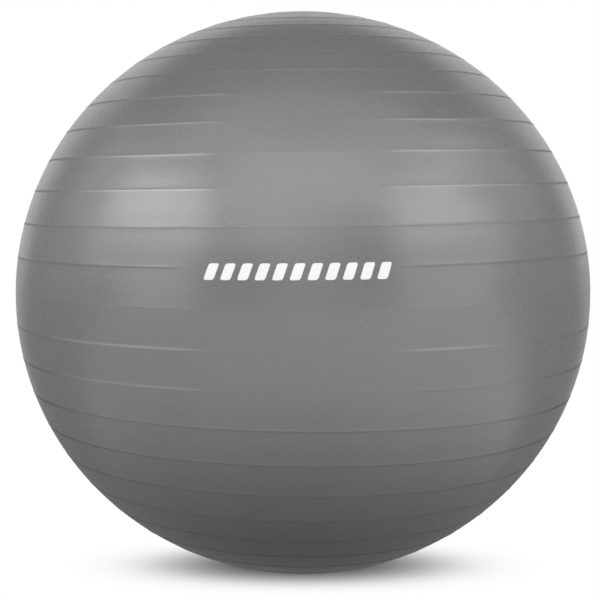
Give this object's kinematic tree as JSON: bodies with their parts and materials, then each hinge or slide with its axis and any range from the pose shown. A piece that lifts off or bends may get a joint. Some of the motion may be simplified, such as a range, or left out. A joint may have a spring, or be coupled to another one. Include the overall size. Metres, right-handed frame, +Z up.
{
  "type": "exercise ball",
  "caption": "Inflatable exercise ball with a hollow soft vinyl skin, raised rings of latitude, a smooth print panel and a push-in valve plug that lifts out.",
  "frame": {"origin": "centre of the flat patch on which the ball rests on the floor", "axes": "+Z up through the crown, along the axis of the raised rings; -Y towards the smooth print panel; the valve is on the far side, 108 degrees round from -Y towards -X"},
  "size_m": [0.6499, 0.65, 0.635],
  "materials": {
    "skin_vinyl": "satin, fine pebbled grain",
    "sleeve_vinyl": "satin",
    "plug_plastic": "satin"
  },
  "bodies": {
    "ball": {"ball_shell": "skin_vinyl", "valve_sleeve": "sleeve_vinyl"},
    "plug": {"valve_plug": "plug_plastic"}
  },
  "joints": [
    {"name": "plug_slide", "type": "slide", "parent": "ball", "child": "plug", "axis": [-0.9408, 0.3056, 0.1468], "range_m": [0, 0.08]}
  ]
}
